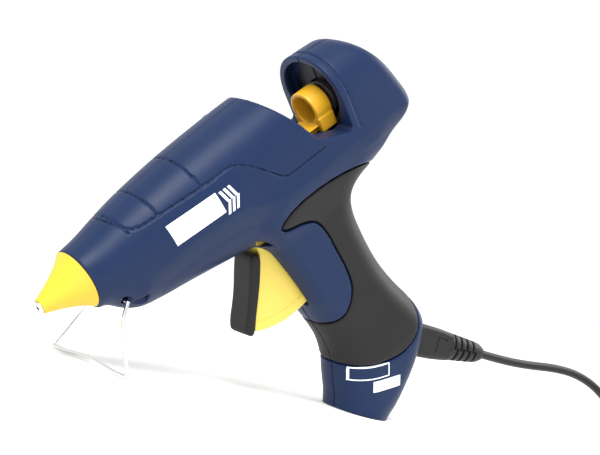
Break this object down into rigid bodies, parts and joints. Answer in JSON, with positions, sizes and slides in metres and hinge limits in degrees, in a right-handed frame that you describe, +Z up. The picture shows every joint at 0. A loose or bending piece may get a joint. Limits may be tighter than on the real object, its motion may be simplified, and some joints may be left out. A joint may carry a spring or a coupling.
{
  "type": "glue gun",
  "caption": "Pistol-shaped hot-melt glue gun for 12 mm sticks, with a feed trigger, wire stand and a plug-in mains lead.",
  "frame": {"origin": "middle of the gun's footprint box, on the surface it stands on", "axes": "+X from the nozzle towards the handle, +Z up, +Y to the gun's right-hand side seen from behind"},
  "size_m": [0.4723, 0.0906, 0.167],
  "materials": {
    "housing_blue": "fine moulded texture",
    "grip_grey": "soft matt overmould",
    "brass": "turned",
    "nozzle_yellow": "satin silicone",
    "aluminium": "cast",
    "ceramic": "fired ceramic",
    "steel": "plain",
    "bright_steel": "bright drawn wire",
    "silicone": "moulded silicone",
    "black_plastic": "moulded",
    "lead_brown": "insulation",
    "lead_blue": "insulation",
    "trigger_yellow": "satin",
    "sled_yellow": "satin acetal",
    "cord_grey": "moulded PVC"
  },
  "bodies": {
    "root": {"left_housing": "housing_blue", "right_housing": "housing_blue", "left_grip": "grip_grey", "right_grip": "grip_grey", "nozzle": "brass", "nozzle_cover": "nozzle_yellow", "melt_chamber": "aluminium", "ptc_heater": "ceramic", "thermal_fuse": "steel", "heater_clip": "steel", "front_insulator": "silicone", "rear_insulator": "silicone", "inlet_sleeve": "silicone", "sleeve_clamp": "steel", "trigger_pin": "steel", "stick_guide": "black_plastic", "live_lead": "lead_brown", "neutral_lead": "lead_blue", "housing_screws": "steel", "inlet_socket": "black_plastic", "contact_pins": "brass"},
    "trigger": {"trigger": "trigger_yellow", "trigger_pad": "grip_grey", "trigger_spring": "steel"},
    "sled": {"feed_sled": "sled_yellow", "jaw_pin": "steel"},
    "jaw": {"stick_jaw": "steel"},
    "stand": {"stand_wire": "bright_steel"},
    "cordset": {"connector": "cord_grey", "strain_relief": "cord_grey", "mains_cord": "cord_grey", "cord_coil": "cord_grey", "cord_tie": "black_plastic", "cord_tail": "cord_grey", "mains_plug": "cord_grey", "plug_pins": "bright_steel"}
  },
  "joints": [
    {"name": "trigger_squeeze", "type": "hinge", "parent": "root", "child": "trigger", "pos_m": [-0.00934, 0, 0.07257], "axis": [0, -1, 0], "range_deg": [0, 26], "stiffness_Nm_per_rad": 0.15, "springref_deg": -22.92},
    {"name": "sled_feed", "type": "slide", "parent": "root", "child": "sled", "axis": [-0.6964, 0, -0.7176], "range_m": [0, 0.011]},
    {"name": "jaw_bite", "type": "hinge", "parent": "sled", "child": "jaw", "pos_m": [-0.00754, 0, 0.09869], "axis": [0, 1, 0], "range_deg": [0, 8], "stiffness_Nm_per_rad": 0.002, "springref_deg": -34.38},
    {"name": "stand_fold", "type": "hinge", "parent": "root", "child": "stand", "pos_m": [-0.07057, 0, 0.02957], "axis": [0, -1, 0], "range_deg": [0, 95]},
    {"name": "lead_unplug", "type": "slide", "parent": "root", "child": "cordset", "axis": [1, 0, 0], "range_m": [0, 0.014]}
  ],
  "couplings": [
    {"joint": "sled_feed", "follows": "trigger_squeeze", "m_per_rad": 0.02391}
  ]
}
